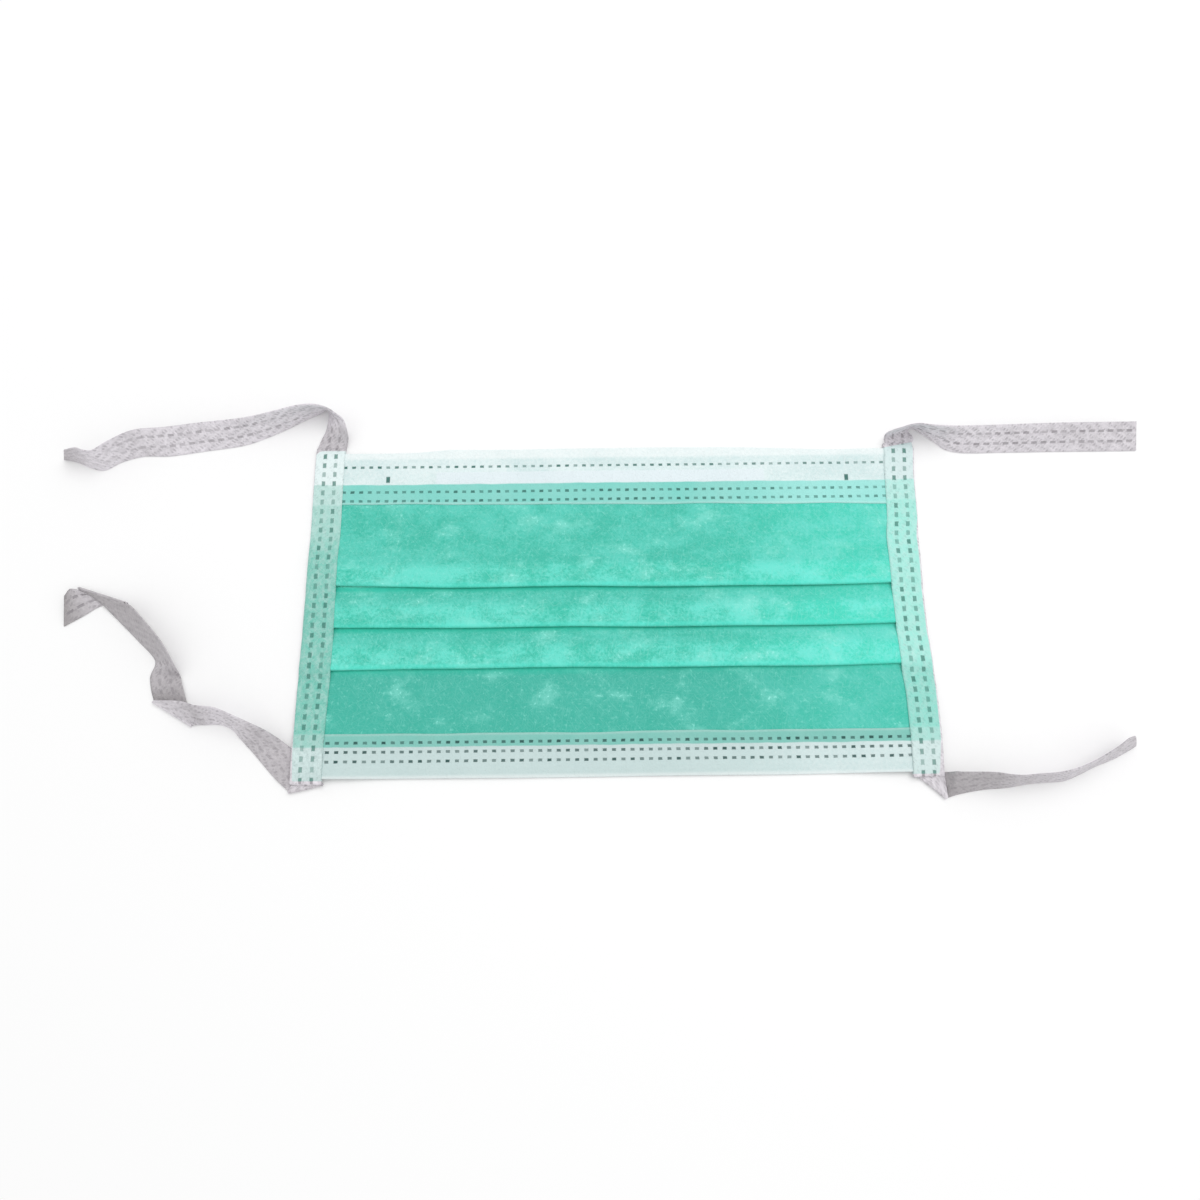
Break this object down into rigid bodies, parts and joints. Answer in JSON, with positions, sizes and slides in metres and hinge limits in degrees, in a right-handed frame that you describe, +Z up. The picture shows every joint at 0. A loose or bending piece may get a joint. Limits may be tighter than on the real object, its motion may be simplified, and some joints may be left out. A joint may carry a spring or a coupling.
{
  "type": "surgical face mask",
  "caption": "Pleated tie-on surgical face mask lying flat: green panel with knife pleats, white turned hems, nose wire and folded side tapes that run on as free ties.",
  "frame": {"origin": "middle of the cut mask on the surface that it lies on", "axes": "+X along the mask's width, +Y up the mask towards the nose wire, +Z up from the surface, towards the green outer side"},
  "size_m": [0.3176, 0.1168, 0.0086],
  "materials": {
    "green_ply": "matt nonwoven, fine fibres and faint mottling",
    "white_ply": "matt nonwoven, slightly see-through",
    "tape": "matt nonwoven tape with weld marks",
    "wire": "smooth white coated strip"
  },
  "bodies": {
    "root": {"pleated_panel": "green_ply", "top_hem": "white_ply", "bottom_hem": "white_ply", "nose_wire": "wire", "left_tape": "tape", "right_tape": "tape"}
  },
  "joints": []
}
